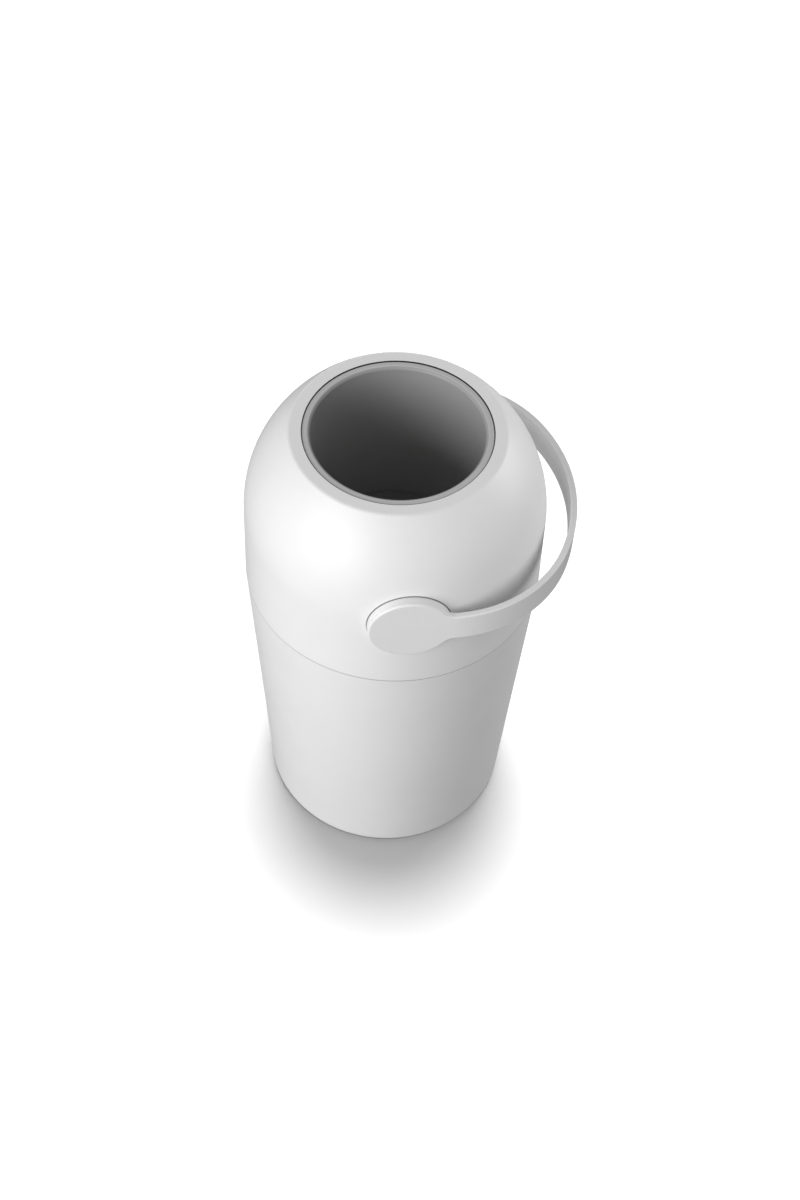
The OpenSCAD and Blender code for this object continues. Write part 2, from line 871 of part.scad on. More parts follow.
groove_at = 6;          // seals, from the piston's middle
seal_w = 3;
seal_depth = 2;
cup_h = piston_h - 2 * piston_wall;
piston_screw_at = piston_r - screw_inset;
boss_w = 4;
weight_r = piston_screw_at - 4 * boss_w;

// Cup with a web across its middle, two seal grooves, and posts for the screws
module piston_body()
    color(liner_color)
        difference() {
            union() {
                rotate_extrude()
                    difference() {
                        union() {
                            ring_2d(piston_r - piston_wall - seal_depth, piston_r, piston_mid - cup_h / 2, piston_mid + cup_h / 2);
                            ring_2d(0, piston_r - piston_wall, piston_mid - piston_wall / 2, piston_mid + piston_wall / 2);
                        }
                        for (up = [-1, 1])
                            ring_2d(
                                piston_r - seal_depth, piston_r + over,
                                piston_mid + up * groove_at - seal_w / 2, piston_mid + up * groove_at + seal_w / 2);
                    }
                around(4, 45)
                    translate([piston_screw_at, 0, piston_mid - cup_h / 2])
                        cylinder(r = boss_w, h = cup_h);
            }
            around(4, 45)
                translate([piston_screw_at, 0, piston_mid - piston_h / 2])
                    cylinder(r = screw_r + fit / 2, h = piston_h);
        }

// Dished face of the piston, with its rim on the cup's edge, drawn at the top
module piston_face() {
    top = piston_mid + piston_h / 2;
    dish_r = piston_screw_at - 2 * boss_w;
    difference() {
        rotate_extrude()
            ease([piston_r - piston_wall / 2, top - piston_wall / 2], piston_wall / 2, 0, 90)
                polygon([
                    [0, top - dish_depth], [dish_r - dish_depth, top - dish_depth], [dish_r, top],
                    [piston_r, top], [piston_r, top - piston_wall], [dish_r - piston_wall / 2, top - piston_wall],
                    [dish_r - dish_depth - piston_wall / 2, top - dish_depth - piston_wall],
                    [0, top - dish_depth - piston_wall]]);
        around(4, 45)
            translate([piston_screw_at, 0, top - piston_wall - over]) {
                cylinder(r = screw_r + fit, h = piston_wall + 2 * over);
                translate([0, 0, over + piston_wall / 4])
                    cylinder(r = 2 * screw_r + fit, h = piston_wall + over);
            }
    }
}

module piston_upper_face()
    color(liner_color)
        piston_face();

module piston_lower_face()
    color(liner_color)
        translate([0, 0, piston_mid])
            mirror([0, 0, 1])
                translate([0, 0, -piston_mid])
                    piston_face();

// Steel discs on both sides of the web
module piston_weights()
    color("lightsteelblue")
        for (up = [0, 1])
            mirror([0, 0, up])
                translate([0, 0, (1 - 2 * up) * piston_mid + piston_wall / 2])
                    cylinder(r = weight_r, h = weight_t);

module piston_seals()
    color(seal_color)
        for (up = [-1, 1])
            ring(
                piston_r - seal_depth, piston_r,
                piston_mid + up * groove_at - seal_w / 2 + fit / 2, piston_mid + up * groove_at + seal_w / 2 - fit / 2);

module piston_screws()
    color("gainsboro")
        for (up = [0, 1])
            translate([0, 0, piston_mid])
                mirror([0, 0, up])
                    around(4, 45)
                        translate([piston_screw_at, 0, -piston_h / 2 + 3 / 4 * piston_wall])
                            screw_up(screw_r, cup_h / 2);

tub_shell();
base_grip_ring();
bag_ring();
dome_shell();
mouth_seal();
mouth_seal_retainer();
drum_cradle();
cradle_screws();
skirt_seal();
chute_seal();
chute_ring();
bearing_bush(-1);  // bearing_bush_front
bearing_bush(1);  // bearing_bush_rear
drum_upper_shell();
drum_lower_shell();
drum_screws();
bore_liner();
drum_rim_ring();
axle(-1);  // axle_front
axle(1);  // axle_rear
axle_screws();
handle_bail();
piston_body();
piston_upper_face();
piston_lower_face();
piston_weights();
piston_seals();
piston_screws();
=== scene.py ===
# %% [markdown]
# A nappy bin is a tall moulded tub with a domed lid. A strap handle turns a ball-shaped drum in the
# lid, and a weighted piston slides down the bore of the drum. The solid pieces come from the packed
# model, so this script gives them their finishes, makes the small screws with their threads, and
# sets up the floor, the lights and the camera.

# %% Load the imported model
import json
import math

import bmesh
import bpy
from mathutils import Matrix, Vector


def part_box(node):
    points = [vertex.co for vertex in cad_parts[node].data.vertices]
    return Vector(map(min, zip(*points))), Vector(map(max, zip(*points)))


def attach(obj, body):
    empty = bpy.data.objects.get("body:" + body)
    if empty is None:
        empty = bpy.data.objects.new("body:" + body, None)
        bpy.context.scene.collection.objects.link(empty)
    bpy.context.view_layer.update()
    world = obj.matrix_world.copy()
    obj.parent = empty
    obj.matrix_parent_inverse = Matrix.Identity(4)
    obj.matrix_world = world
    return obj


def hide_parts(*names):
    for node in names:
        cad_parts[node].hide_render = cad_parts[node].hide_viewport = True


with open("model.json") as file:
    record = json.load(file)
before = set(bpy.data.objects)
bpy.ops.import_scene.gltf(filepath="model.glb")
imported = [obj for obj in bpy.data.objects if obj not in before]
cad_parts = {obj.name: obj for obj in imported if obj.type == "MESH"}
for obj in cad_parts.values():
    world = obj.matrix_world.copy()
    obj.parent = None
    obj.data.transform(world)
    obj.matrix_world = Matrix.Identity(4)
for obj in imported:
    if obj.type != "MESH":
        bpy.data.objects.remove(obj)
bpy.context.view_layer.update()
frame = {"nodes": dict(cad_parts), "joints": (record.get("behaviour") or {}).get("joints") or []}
nodes = frame["nodes"]
print("pieces from the packed model:", len(nodes))

# %% [markdown]
# A few sizes are read back from the model, so that marks and screws sit where they belong even
# after a size has changed. The dome's box gives the seam and the top of the lip, the handle's box
# is as high as its round discs, and the piston fills the bore but for a small gap. No box gives the
# radius of the mouth, so that one is written out. All lengths here are in metres.

# %% Read sizes back from the model
axle_joint = next(joint for joint in frame["joints"] if joint["name"] == "drum_turn")
pivot_z = axle_joint["pos_m"][2]
seam_z, top_z = (corner.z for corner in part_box("dome_shell"))
handle_low, handle_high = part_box("handle_bail")
hub_radius = (handle_high.z - handle_low.z) / 2
PISTON_GAP, MOUTH_RADIUS = 0.0003, 0.0945
bore_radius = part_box("piston_body")[1].x + PISTON_GAP
print("heights of seam, axle and lip:", [round(v, 4) for v in (seam_z, pivot_z, top_z)])
print("radii of bore and hub disc:", [round(v, 4) for v in (bore_radius, hub_radius)])

# %% [markdown]
# The photograph looks down at the bin from about fifty-three degrees above the floor, so the mouth
# shows as a wide ellipse and the tub tapers strongly. The camera's place and turn were found by
# matching the ellipses of the lip, the mouth and the base. It could be aimed at the bin with a
# constraint, but it also leans a little to one side, so its right, up and back directions are
# written out as vectors. How far it stands away and up is given in heights of the bin.

# %% Camera
BIN_HEIGHT = 0.58
CAMERA_AWAY, CAMERA_UP = 1.826, 2.986
SENSOR_WIDTH, LENS = 36, 48
YAW, PITCH, ROLL, TURN = (math.radians(angle) for angle in (0.53, 53.45, 2.84, -7.08))


def camera_axes(yaw, pitch, roll):
    """Right, up and back directions of a camera that looks down at the bin."""
    ahead = Vector((math.sin(yaw) * math.cos(pitch), math.cos(yaw) * math.cos(pitch), -math.sin(pitch)))
    level = Vector((math.cos(yaw), -math.sin(yaw), 0))
    upward = level.cross(ahead)
    right = level * math.cos(roll) + upward * math.sin(roll)
    up = upward * math.cos(roll) - level * math.sin(roll)
    return right, up, -ahead


turn = Matrix.Rotation(TURN, 3, "Z")
camera_pose = Matrix([turn @ axis for axis in camera_axes(YAW, PITCH, ROLL)]).transposed().to_4x4()
camera_pose.translation = turn @ Vector((0, -CAMERA_AWAY, CAMERA_UP)) * BIN_HEIGHT
camera = bpy.data.objects.new("camera", bpy.data.cameras.new("camera"))
bpy.context.scene.collection.objects.link(camera)
camera.matrix_world = camera_pose
camera.data.sensor_width, camera.data.lens = SENSOR_WIDTH, LENS
bpy.context.scene.camera = camera
print("camera at", [round(v, 3) for v in camera_pose.translation])

# %% [markdown]
# The floor is a large pale sheet. The burnt-out floor of a product photograph would throw far too
# much light back at the bin, so diffuse and glossy rays pass through this one, and the dim lower
# half of the world stands in for it, as black cards beside a bottle do in a studio.

# %% Floor
FLOOR_SPAN = 60
bpy.ops.mesh.primitive_plane_add(size=FLOOR_SPAN, location=(0, 0, 0))
floor = bpy.context.object
floor.name = "floor"
floor.visible_diffuse = floor.visible_glossy = False
print("floor:", floor.name, FLOOR_SPAN, "metres wide")

# %% [markdown]
# Studios keep light off a thing with flags and cards. Light linking does the same here: each lamp
# has a collection that says what it reaches. A lamp is turned towards a point, and a softbox is
# placed by its angle round the bin and its angle over the floor, as one would walk round with it.

# %% Helpers for lamps
LAMP_DISTANCE, LAMP_AIM = 2.2, Vector((0, 0, 0.4))


def add_lamp(name, kind, place, aim, power, **settings):
    """A lamp at a place, turned towards a point."""
    lamp = bpy.data.objects.new(name, bpy.data.lights.new(name, kind))
    lamp.data.energy = power
    for key, value in settings.items():
        setattr(lamp.data, key, value)
    lamp.location = place
    lamp.rotation_euler = (Vector(aim) - Vector(place)).to_track_quat("-Z", "Y").to_euler()
    bpy.context.scene.collection.objects.link(lamp)
    return lamp


def set_reach(lamp, state, things):
    """Says that a lamp lights these things alone (INCLUDE) or all but them (EXCLUDE)."""
    reached = bpy.data.collections.new(lamp.name + " reach")
    for thing in things:
        reached.objects.link(thing)
    for entry in reached.collection_objects:
        entry.light_linking.link_state = state
    lamp.light_linking.receiver_collection = reached


def floor_lamp(name, place, power, disc):
    """A sun that lights the floor alone; disc is the angle that its soft disc spans, in degrees."""
    lamp = add_lamp(name, "SUN", place, (0, 0, 0), power, angle=math.radians(disc))
    set_reach(lamp, "INCLUDE", [floor])


def softbox(name, azimuth, elevation, power, width, kept_off=(), only=()):
    """A large square lamp aimed at the bin; azimuth 0 is the front and 90 the handle's side."""
    around, over = math.radians(azimuth), math.radians(elevation)
    flat = Vector((math.sin(around), -math.cos(around), 0)) * math.cos(over)
    away = (flat + Vector((0, 0, math.sin(over)))) * LAMP_DISTANCE
    lamp = add_lamp(name, "AREA", LAMP_AIM + away, LAMP_AIM, power, size=width)
    lamp.visible_camera = False
    if only:
        set_reach(lamp, "INCLUDE", only)
    else:
        set_reach(lamp, "EXCLUDE", [floor, *kept_off])


print("softboxes stand", LAMP_DISTANCE, "metres from the bin")

# %% [markdown]
# A photograph of this kind is lit so that the ground burns out to white and only a soft shadow
# stays round the foot. One sun with a wide, soft disc stands high behind the bin, so its shadow
# falls softly towards the camera, and a weaker one from the front keeps that shadow from going
# black at the foot. Neither of them touches the bin.
#
# Four softboxes light the bin and leave no shadow on the floor. The key stands at the left front,
# and a second lamp at the right brightens the far side of the dome, kept off the handle and out of
# the bore. A weaker one from nearly the same side is for the strap alone, and one behind the bin
# keeps its back from going dull.

# %% Lamps
handle = nodes["handle_bail"]
in_the_bore = [nodes[name] for name in ("bore_liner", "piston_upper_face", "piston_lower_face")]
floor_lamp("floor sun", place=(0.11, 0.57, 3), power=5.9, disc=21)
floor_lamp("floor fill", place=(0, -1.4, 3), power=1.3, disc=20)
softbox("key", azimuth=-48, elevation=17, power=40.5, width=1.7)
softbox("far side lamp", azimuth=103, elevation=18, power=22.5, width=1.4, kept_off=[handle, *in_the_bore])
softbox("back lamp", azimuth=185, elevation=8, power=9, width=1.2, kept_off=in_the_bore)
softbox("strap lamp", azimuth=92, elevation=12, power=11, width=1.0, only=[handle])

# %% [markdown]
# Shader nodes are easier to read as sums. This small class wraps a socket, so that an expression
# such as 1 - mask adds the Math node that works it out. It serves shaders and Geometry Nodes alike,
# because both use the same Math node. One function makes any other node: its settings come first,
# and then the values or links of its sockets.

# %% Node maths
class Wire:
    """A node's socket that can be used in sums."""

    def __init__(self, tree, socket):
        self.tree, self.socket = tree, socket

    def math(self, operation, other=None, swapped=False):
        """A Math node on this wire, and on another wire or number where the operation takes two."""
        sides = [other, self] if swapped else [self, other]
        sockets = {f"n{i}": side for i, side in enumerate(sides) if side is not None}
        return add_node(self.tree, "ShaderNodeMath", {"operation": operation}, **sockets)

    def __add__(self, other):
        return self.math("ADD", other)

    def __sub__(self, other):
        return self.math("SUBTRACT", other)

    def __mul__(self, other):
        return self.math("MULTIPLY", other)

    def __truediv__(self, other):
        return self.math("DIVIDE", other)

    def __radd__(self, other):
        return self.math("ADD", other, swapped=True)

    def __rsub__(self, other):
        return self.math("SUBTRACT", other, swapped=True)

    def __rmul__(self, other):
        return self.math("MULTIPLY", other, swapped=True)


def set_stops(ramp, stops):
    """Sets a colour ramp's stops, each a place from 0 to 1 and a shade of grey."""
    while len(ramp.elements) < len(stops):
        ramp.elements.new(1)
    for element, (place, shade) in zip(ramp.elements, stops):
        element.position, element.color = place, (shade, shade, shade, 1)


def add_node(tree, kind, settings=None, out=0, **sockets):
    """Adds a node and gives back one of its outputs.

    A socket goes by its name with _ for each space, or by n and its number where names repeat.
    """
    node = tree.nodes.new(kind)
    for key, value in (settings or {}).items():
        if key == "stops":
            set_stops(node.color_ramp, value)
        else:
            setattr(node, key, value)
    for name, value in sockets.items():
        socket = node.inputs[int(name[1:]) if name[1:].isdigit() else name.replace("_", " ")]
        if isinstance(value, Wire):
            tree.links.new(value.socket, socket)
        else:
            socket.default_value = value
    return Wire(tree, node.outputs[out])


print("node maths ready")

# %% [markdown]
# The world gives the rest of the light. Below the horizon it is dim, because it stands in for the
# floor. Round the horizon runs a paler band like a paper sweep, which the plastic reflects at its
# edges. Above that it dims again, and only straight overhead it is bright, for the lip and the
# upper part of the bore. The camera itself sees plain white, like the burnt-out floor, so that no
# horizon cuts the picture when the bin is seen from low down. Texture Coordinate's first output is
# the way a ray looks, and Light Path's first output is 1 for the camera's own rays. Each stop is a
# place, from straight down at 0 to straight up at 1, and a shade.

# %% World
SKY_STOPS = [(0.0, 0.16), (0.35, 0.16), (0.50, 0.48), (0.56, 0.52), (0.64, 0.33), (0.85, 0.34), (1.0, 0.60)]
BACKDROP_SHADE = 1.02
world = bpy.data.worlds.new("studio")
bpy.context.scene.world = world
world.use_nodes = True
sky = world.node_tree
sky_way = add_node(sky, "ShaderNodeTexCoord")
sky_up = add_node(sky, "ShaderNodeSeparateXYZ", out=2, Vector=sky_way)
sky_shade = add_node(sky, "ShaderNodeValToRGB", {"stops": SKY_STOPS}, Fac=sky_up * 0.5 + 0.5)
seen = add_node(sky, "ShaderNodeLightPath")
backdrop = sky_shade * (1 - seen) + seen * BACKDROP_SHADE
sky.links.new(backdrop.socket, sky.nodes["Background"].inputs["Color"])
bpy.context.scene.view_settings.view_transform = "Standard"
print("world:", world.name, "with", len(SKY_STOPS), "stops")

# %% [markdown]
# Every finish starts the same way, from the object's own coordinates, which stay with the piece
# when it moves. The helpers below read them: a noise whose scale is one over a size in metres, a
# soft step between two values, a stretched copy for streaks, and the distance from an axis.

# %% Helpers for finishes
ACROSS_Z, ACROSS_Y = (1, 1, 0), (1, 0, 1)
BIN_AXIS, DRUM_AXLE = (0, 0, 0), (0, 0, pivot_z)


def start_finish(name):
    """A new material, its node tree, and the object's coordinates."""
    material = bpy.data.materials.new(name)
    material.use_nodes = True
    tree = material.node_tree
    return material, tree, Wire(tree, tree.nodes.new("ShaderNodeTexCoord").outputs["Object"])


def noise(place, size, detail=2.0, roughness=0.5):
    """Noise from 0 to 1, with blotches of about the given size in metres."""
    return add_node(place.tree, "ShaderNodeTexNoise", Vector=place, Scale=1 / size, Detail=detail,
                    Roughness=roughness)


def step(value, low, high):
    """0 at low and 1 at high, with a soft change between them; low may be the larger of the two."""
    return add_node(value.tree, "ShaderNodeMapRange", {"interpolation_type": "SMOOTHSTEP"}, Value=value,
                    From_Min=low, From_Max=high)


def stretched(place, scale):
    """The coordinates scaled along each axis."""
    return add_node(place.tree, "ShaderNodeMapping", {"vector_type": "TEXTURE"}, Vector=place,
                    Scale=tuple(1 / factor for factor in scale))


def along(place, axis):
    """One of the three coordinates: 0 is x, 1 is y, 2 is z."""
    return add_node(place.tree, "ShaderNodeSeparateXYZ", out=axis, Vector=place)


def from_axis(place, across=ACROSS_Z, middle=BIN_AXIS):
    """Distance from an axis through the middle point; across has 0 along that axis and 1 across it."""
    flat = add_node(place.tree, "ShaderNodeVectorMath", {"operation": "SUBTRACT"}, n0=place, n1=middle)
    flat = add_node(place.tree, "ShaderNodeVectorMath", {"operation": "MULTIPLY"}, n0=flat, n1=across)
    return add_node(place.tree, "ShaderNodeVectorMath", {"operation": "LENGTH"}, out=1, n0=flat)


def blend_colour(tree, factor, first, second):
    """A colour between two others, each a colour or the output of another blend."""
    sides = {"n6": first, "n7": second}
    sides = {key: side if isinstance(side, Wire) else (*side, 1) for key, side in sides.items()}
    return add_node(tree, "ShaderNodeMix", {"data_type": "RGBA"}, out=2, n0=factor, **sides)


print("helpers ready")

# %% [markdown]
# A moulded part carries the marks of its mould. Round ejector pins leave a shallow ring where they
# push the part out, and they stand in even circles round the axis. Folding the angle round the
# axis into one slice draws the whole circle of rings from a single distance. Turned moulds and
# turned steel carry fine rings, and streaks follow the way in which the plastic flowed or a piece
# rubs. Such marks could be painted on an image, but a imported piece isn't unwrapped, and a formula
# stays sharp from close by. Each function below gives back another one, which makes a mask from a
# piece's coordinates: 1 where the mark is, and 0 elsewhere.

# %% Marks of making
PIN_LINE, WOBBLE_SIZE = 0.0004, 0.02


def pin_rings(count, circle, pin, start=0.0):
    """Marks of ejector pins: rings round a circle about the bin's axis."""
    def mask(place):
        angle = (along(place, 1).math("ARCTAN2", along(place, 0)) - start).math("PINGPONG", math.pi / count)
        reach = from_axis(place)
        off = reach * angle.math("COSINE") - circle
        side = reach * angle.math("SINE")
        line = ((off * off + side * side).math("SQRT") - pin).math("ABSOLUTE")
        return step(line, PIN_LINE, PIN_LINE / 4)
    return mask


def turning(spacing, across=ACROSS_Z, middle=BIN_AXIS):
    """Fine rings round an axis, as a lathe or a turned mould leaves."""
    def mask(place):
        wobble = noise(place, WOBBLE_SIZE) * spacing
        turns = (from_axis(place, across, middle) + wobble) * (math.tau / spacing)
        return turns.math("SINE") * 0.5 + 0.5
    return mask


def streaks(per_metre, low=0.66, high=0.72):
    """Long thin marks: noise with this many blotches per metre along each axis, cut off at low."""
    def mask(place):
        return step(noise(stretched(place, per_metre), 1.0, detail=3.0, roughness=0.6), low, high)
    return mask


print("marks of making ready")

# %% [markdown]
# Use leaves marks of its own, and each keeps to its place: scuffs just over the floor. Painted shade
# keeps to its places too: a fine grey line in the seam, and dark lines in the gap round the hub discs
# and in the one between rim and lip. A soft step along a height or a radius is all that such a place
# needs. The rim at the upper end of the bore is one piece with the liner but lighter, and a step on
# the radius sets it off in the same way.

# %% Marks of use and painted shade
OUTER_WALL = (0.153, 0.154)
HUB_WALL, HUB_FADE = (0.12, 0.13), (-0.02, 0.01)
SCUFF_SIZE, SCUFF_STRETCH, SCUFF_STEP = 0.006, (1, 1, 4), (0.5, 0.66)


def floor_scuffs(top):
    """Broken marks that fade out at a height over the floor."""
    def mask(place):
        broken = noise(stretched(place, SCUFF_STRETCH), SCUFF_SIZE, detail=4.0, roughness=0.7)
        return step(along(place, 2), top, 0.0) * step(broken, *SCUFF_STEP)
    return mask


def beyond(axis, low, high):
    """All that lies past a place along an axis."""
    def mask(place):
        return step(along(place, axis), low, high)
    return mask


def outside(inner, outer):
    """All that lies farther from the bin's axis than a radius."""
    def mask(place):
        return step(from_axis(place), inner, outer)
    return mask


def hub_gap_shade(radius, width):
    """The narrow gap round the hub discs, darkened on the upper side alone with painted shade."""
    def mask(place):
        off = (from_axis(place, ACROSS_Y, DRUM_AXLE) - radius).math("ABSOLUTE")
        near_disc = step(along(place, 1).math("ABSOLUTE"), *HUB_WALL)
        upper_side = step(along(place, 2), *(pivot_z + fade for fade in HUB_FADE))
        return step(off, width, width / 2) * near_disc * upper_side
    return mask


def seam_shade_line(width):
    """The two rounded edges at the seam, where a fine grey line of painted shade goes."""
    def mask(place):
        off = (along(place, 2) - seam_z).math("ABSOLUTE")
        return step(off, width, width / 2) * step(from_axis(place), *OUTER_WALL)
    return mask


def mouth_edge(skin, drop):
    """The thin upright edge of the mouth, down to a drop under the lip."""
    def mask(place):
        upright = step(from_axis(place), MOUTH_RADIUS + skin, MOUTH_RADIUS + skin / 2)
        return upright * step(along(place, 2), top_z - drop, top_z - drop / 2)
    return mask


print("marks of use ready")

# %% [markdown]
# Moulded plastic is never perfectly even. Spark erosion gives the mould a fine grain, cooling gives
# a slow waviness, and hands and cloths polish it in patches. Heights are in metres and go through
# one Bump node with a distance of 1, so the slopes are those of the real surface. Each extra mark
# is a mask with a tint, a change of roughness and a depth. Rubber is made by the same function with
# a coarser grain, and steel with a finer one.

# %% Plastic, rubber and steel
WAVE_SIZE, PATCH_SIZE, GRAIN_ROUGHNESS = 0.09, 0.045, 0.08
SHADE_STEP, PATCH_STEP = (0.3, 0.75), (0.5, 0.7)
PLASTIC_IOR = 1.49


def grey(value):
    """A neutral colour."""
    return value, value, value


def mark(mask, tint=None, rougher=0.0, depth=0.0):
    """A mark: where it shows, its colour, and what it does to the roughness and the height."""
    return mask, tint, rougher, depth


def moulded(name, light, dark, roughness, grain=0.0004, grain_depth=0.000006, wave_depth=0.00006,
            patch=0.05, marks=()):
    """A finish of two close shades with grain, waviness, polished patches and its own marks."""
    material, tree, place = start_finish(name)
    shader = tree.nodes["Principled BSDF"]
    slow, fine = noise(place, WAVE_SIZE, detail=3.0), noise(place, grain)
    patches = step(noise(place, PATCH_SIZE, detail=5.0, roughness=0.62), *PATCH_STEP)
    colour = blend_colour(tree, step(slow, *SHADE_STEP), light, dark)
    rough = fine * GRAIN_ROUGHNESS + (roughness - GRAIN_ROUGHNESS / 2) - patches * patch
    height = fine * grain_depth + slow * wave_depth
    for mask_of, tint, rougher, depth in marks:
        mask = mask_of(place)
        colour = blend_colour(tree, mask, colour, tint) if tint else colour
        rough = rough + mask * rougher if rougher else rough
        height = height + mask * depth if depth else height
    bump = add_node(tree, "ShaderNodeBump", Height=height, Distance=1.0, Strength=1.0)
    tree.links.new(colour.socket, shader.inputs["Base Color"])
    tree.links.new(rough.socket, shader.inputs["Roughness"])
    tree.links.new(bump.socket, shader.inputs["Normal"])
    shader.inputs["IOR"].default_value = PLASTIC_IOR
    return material


def metal(name, light, dark, roughness, marks):
    """Bare metal: a finer, flatter grain, and larger changes of gloss."""
    material = moulded(name, light, dark, roughness, grain=0.0002, grain_depth=0.000002,
                       wave_depth=0.00001, patch=0.12, marks=marks)
    material.node_tree.nodes["Principled BSDF"].inputs["Metallic"].default_value = 1.0
    return material


finishes = {}
print("finish functions ready")

# %% [markdown]
# The tub, the dome and the handle are one white plastic. The tub has scuffs at its foot and pin
# marks on its bottom, a cloth polishes the lip of the dome, and a hand polishes the nose of the
# handle, so the three differ a little. The gaps between them are a few tenths of a millimetre wide.
# Shadow alone would hardly show such a gap, so dark tints on its edges are painted shade that makes it
# show.

# %% White plastic
WHITE, WHITE_DIM, WHITE_WORN = grey(0.86), grey(0.84), grey(0.78)
# Painted shade: the seam's grey, the dark of the gap round the hub discs and the near black of the mouth's
# edge.
PAINTED_SEAM_SHADE, PAINTED_HUB_SHADE, MOUTH_SHADE = grey(0.52), grey(0.22), grey(0.03)
SEAM_LINE, MOUTH_SKIN, MOUTH_DROP = 0.0011, 0.0004, 0.006
CREVICE_GAP, CREVICE_LINE = 0.0003, 0.0011
LIP_FALL, NOSE = 0.012, (0.13, 0.17)
hairlines = streaks((30, 900, 30))
# The seam line is painted shade: a grey tint on the rounded edges of the seam.
seam_shade_mark = mark(seam_shade_line(SEAM_LINE), tint=PAINTED_SEAM_SHADE, rougher=0.2)
hairline_mark = mark(hairlines, rougher=0.06, depth=-0.000004)

finishes["tub"] = moulded("white tub plastic", WHITE, WHITE_DIM, 0.46, marks=[
    mark(floor_scuffs(top=0.022), tint=WHITE_WORN, rougher=0.12, depth=-0.00001),
    seam_shade_mark,
    mark(pin_rings(count=8, circle=0.085, pin=0.004, start=math.pi / 8), depth=-0.00015),
    hairline_mark])
finishes["dome"] = moulded("white dome plastic", WHITE, WHITE_DIM, 0.43, patch=0.08, marks=[
    mark(beyond(2, top_z - LIP_FALL, top_z), rougher=-0.04),
    # The mouth's upright edge is painted near black, as shade in the gap between rim and lip.
    mark(mouth_edge(MOUTH_SKIN, MOUTH_DROP), tint=MOUTH_SHADE, rougher=0.2),
    # The dark ring round the hub discs is painted shade, on the upper side alone.
    mark(hub_gap_shade(hub_radius + CREVICE_GAP, CREVICE_LINE), tint=PAINTED_HUB_SHADE, rougher=0.2),
    seam_shade_mark,
    hairline_mark])
finishes["handle"] = moulded("white handle plastic", WHITE, WHITE_DIM, 0.42, marks=[
    mark(beyond(0, *NOSE), rougher=-0.09),
    mark(streaks((900, 40, 40)), tint=WHITE_WORN, rougher=0.05, depth=-0.000005)])
print("white finishes:", len(finishes))

# %% [markdown]
# The bore is a smooth grey tube, and everything that goes down it leaves long fine streaks along
# it. Both rims have the same lighter grey: the upper one is the liner's own end, and the lower one
# is a ring of its own that comes up when the drum is turned. The rim begins at the bore's radius
# and ends just inside the mouth's, where painted shade darkens its edge. A copy of the liner's end
# could carry the second colour, but a mask on the radius gives it without another piece. The piston
# is the darkest grey.

# %% Grey plastic
LINER, LINER_DIM, LINER_WORN = grey(0.40), grey(0.375), grey(0.44)
RIM, RIM_DIM, PAINTED_RIM_SHADE = grey(0.65), grey(0.62), grey(0.12)
PISTON, PISTON_DIM, PISTON_WORN = grey(0.17), grey(0.145), grey(0.21)
RIM_START, RIM_EDGE = (0.0005, 0.0021), (-0.0008, -0.0003)
rim_start = outside(*(bore_radius + way for way in RIM_START))
rim_edge = outside(*(MOUTH_RADIUS + way for way in RIM_EDGE))
# Painted shade: a dark band on the rim's outer edge, next to the lip.
rim_shade_mark = mark(rim_edge, tint=PAINTED_RIM_SHADE, rougher=0.1)

finishes["liner"] = moulded("grey liner plastic", LINER, LINER_DIM, 0.46, marks=[
    mark(streaks((240, 240, 5), 0.5, 0.75), rougher=-0.04, depth=0.000001),
    mark(streaks((700, 700, 14)), tint=LINER_WORN, rougher=0.05, depth=-0.000003),
    mark(rim_start, tint=RIM, rougher=0.14),
    rim_shade_mark])
finishes["rim"] = moulded("grey rim plastic", RIM, RIM_DIM, 0.6, marks=[
    rim_shade_mark,
    mark(turning(0.0006), rougher=0.02, depth=0.0000012),
    mark(hairlines, tint=RIM_DIM, rougher=0.05, depth=-0.000004)])
finishes["piston"] = moulded("grey piston plastic", PISTON, PISTON_DIM, 0.5, marks=[
    mark(turning(0.0011), rougher=0.03, depth=0.000003),
    mark(streaks((60, 420, 60), 0.62, 0.72), tint=PISTON_WORN, rougher=0.10, depth=-0.000008),
    mark(pin_rings(count=8, circle=0.052, pin=0.003, start=math.pi / 8), depth=-0.0001)])
print("white and grey finishes:", len(finishes))

# %% [markdown]
# Inner pieces that nobody sees are often moulded from undyed or mixed stock, so they are a little
# bluer and less even. The bushes and axles rub on each other and are of a slippery, ivory-coloured
# plastic with turned rings round the axle.

# %% Inner plastic and bearings
INNER, INNER_DIM = (0.68, 0.69, 0.70), (0.63, 0.64, 0.655)
IVORY, IVORY_DIM = (0.83, 0.80, 0.71), (0.78, 0.75, 0.66)
finishes["inner"] = moulded("light inner plastic", INNER, INNER_DIM, 0.48, marks=[
    mark(streaks((20, 20, 70), 0.52, 0.78), tint=INNER_DIM, rougher=0.03),
    mark(pin_rings(count=12, circle=0.118, pin=0.003), depth=-0.0001)])
finishes["bearing"] = moulded("ivory bearing plastic", IVORY, IVORY_DIM, 0.30, grain_depth=0.000002, marks=[
    mark(turning(0.0008, ACROSS_Y, DRUM_AXLE), rougher=0.03, depth=0.000004)])
print("finishes so far:", len(finishes))

# %% [markdown]
# Seals and the grip ring are black rubber. The seals bloom a little grey in places, and the grip
# ring has fine grooves to hold on the floor, from which it picks up dust. The grooves are only
# 0.15 mm deep, so the Bump node makes them and the mesh stays plain.

